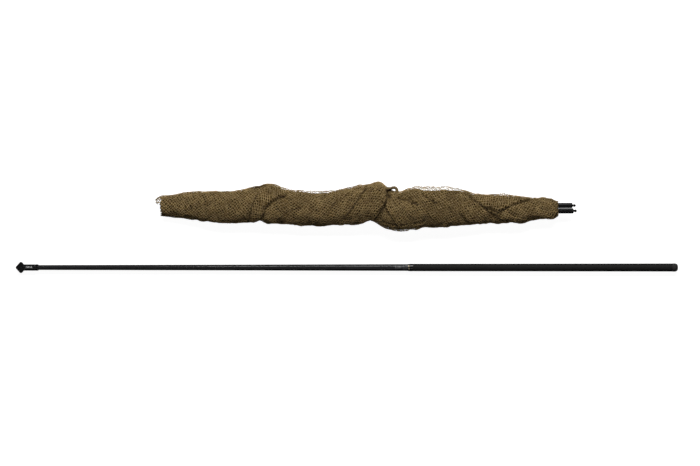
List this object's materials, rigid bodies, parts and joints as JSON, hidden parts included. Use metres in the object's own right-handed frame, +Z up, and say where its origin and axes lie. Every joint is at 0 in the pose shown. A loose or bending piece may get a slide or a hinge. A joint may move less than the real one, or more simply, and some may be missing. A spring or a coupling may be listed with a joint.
{
  "type": "landing net",
  "caption": "Fishing landing net packed for carrying: long tapered handle with spreader block, and a soft mesh rolled round two plug-in arms beside it.",
  "frame": {"origin": "on the ground at the middle of the packed net's footprint", "axes": "+X from the spreader block to the butt of the handle, +Y from the handle to the net head, +Z up"},
  "size_m": [1.829, 0.2499, 0.0685],
  "materials": {
    "carbon_blank": "satin",
    "carbon_rod": "satin",
    "black_gloss": "gloss",
    "black_anodised": "satin",
    "gold_trim": "satin",
    "grip_rubber": "matte",
    "black_rubber": "matte",
    "black_nylon": "satin",
    "steel": "satin",
    "dark_steel": "satin",
    "brass": "satin",
    "olive_mesh": "matte",
    "olive_tape": "matte"
  },
  "bodies": {
    "handle": {"pole_blank": "carbon_blank", "tip_stud": "steel", "tip_ferrule": "black_anodised", "trim_ring": "gold_trim", "winding_check": "black_gloss", "grip_sleeve": "grip_rubber", "butt_plug": "black_nylon", "butt_cap": "black_rubber"},
    "washer": {"anti_twist_washer": "black_rubber"},
    "block": {"spreader_block": "black_nylon", "socket_liner_upper": "steel", "socket_liner_lower": "steel", "block_pin": "steel", "block_thread_insert": "brass"},
    "net_head": {"net_roll": "olive_mesh", "arm_sleeve_upper": "olive_tape", "arm_sleeve_lower": "olive_tape"},
    "arm_upper": {"arm_rod_upper": "carbon_rod", "arm_ferrule_upper": "black_anodised", "ball_stud_upper": "dark_steel", "arm_tip_cap_upper": "black_nylon"},
    "arm_lower": {"arm_rod_lower": "carbon_rod", "arm_ferrule_lower": "black_anodised", "ball_stud_lower": "dark_steel", "arm_tip_cap_lower": "black_nylon"}
  },
  "joints": [
    {"name": "screw_travel", "type": "slide", "parent": "handle", "child": "washer", "axis": [-1, 0, 0], "range_m": [0, 0.0115]},
    {"name": "block_unscrew", "type": "hinge", "parent": "washer", "child": "block", "pos_m": [-0.87, -0.1097, 0.0115], "axis": [-1, 0, 0], "range_deg": [0, 3240]},
    {"name": "head_lift", "type": "slide", "parent": "handle", "child": "net_head", "axis": [0, 0, 1], "range_m": [0, 0.3]},
    {"name": "arm_upper_slide", "type": "slide", "parent": "net_head", "child": "arm_upper", "axis": [1, 0, 0], "range_m": [0, 1.03]},
    {"name": "arm_lower_slide", "type": "slide", "parent": "net_head", "child": "arm_lower", "axis": [1, 0, 0], "range_m": [0, 1.03]}
  ],
  "couplings": [
    {"joint": "screw_travel", "follows": "block_unscrew", "m_per_rad": 0.00020213}
  ]
}
